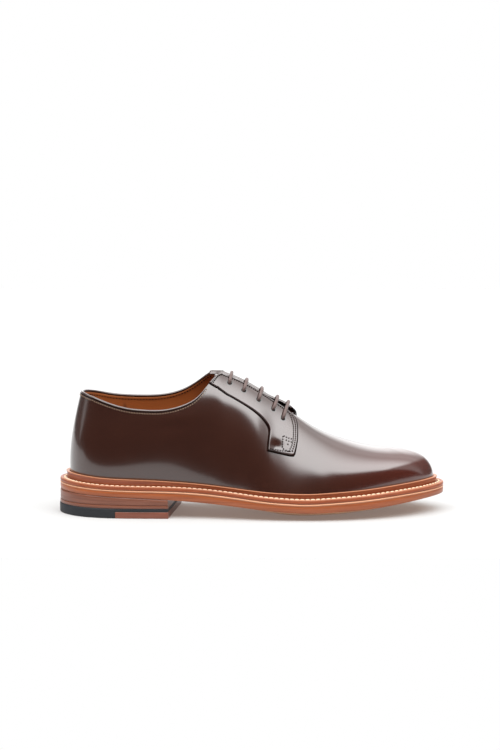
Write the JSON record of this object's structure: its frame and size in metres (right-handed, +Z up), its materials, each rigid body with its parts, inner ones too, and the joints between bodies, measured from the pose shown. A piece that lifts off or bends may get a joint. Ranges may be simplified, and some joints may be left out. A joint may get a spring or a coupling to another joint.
{
  "type": "plain toe derby shoe",
  "caption": "Right leather derby shoe: plain toe, laced facings over a tongue, storm welt all round, leather sole and stacked heel with a rubber rear corner. Open and empty, ready for a foot.",
  "frame": {"origin": "on the floor, under the middle of the shoe's box in plan", "axes": "+X from heel to toe, +Y towards the inner (medial) side of the right foot, +Z up from the floor"},
  "size_m": [0.3056, 0.1052, 0.1128],
  "materials": {
    "upper_leather": "polished dark brown calf",
    "eyestay_leather": "polished dark brown calf",
    "tongue_leather": "satin dark brown calf",
    "outsole_leather": "waxed edge, natural oak-bark brown",
    "welt_leather": "waxed mid brown",
    "insole_leather": "plain tan",
    "lift_leather": "waxed stacked leather",
    "top_piece_leather": "waxed edge, natural brown",
    "heel_rubber": "matte charcoal",
    "lace_cotton": "round waxed cotton"
  },
  "bodies": {
    "root": {"outsole": "outsole_leather", "welt": "welt_leather", "insole": "insole_leather", "heel_top_rubber": "heel_rubber", "heel_top_leather": "top_piece_leather", "heel_lift_lower": "lift_leather", "heel_lift_upper": "lift_leather", "upper": "upper_leather", "eyestay_lateral": "eyestay_leather", "eyestay_medial": "eyestay_leather", "tongue": "tongue_leather", "lace_bar_1": "lace_cotton", "lace_bar_2": "lace_cotton", "lace_bar_3": "lace_cotton", "lace_bar_4": "lace_cotton", "lace_bar_5": "lace_cotton"}
  },
  "joints": []
}
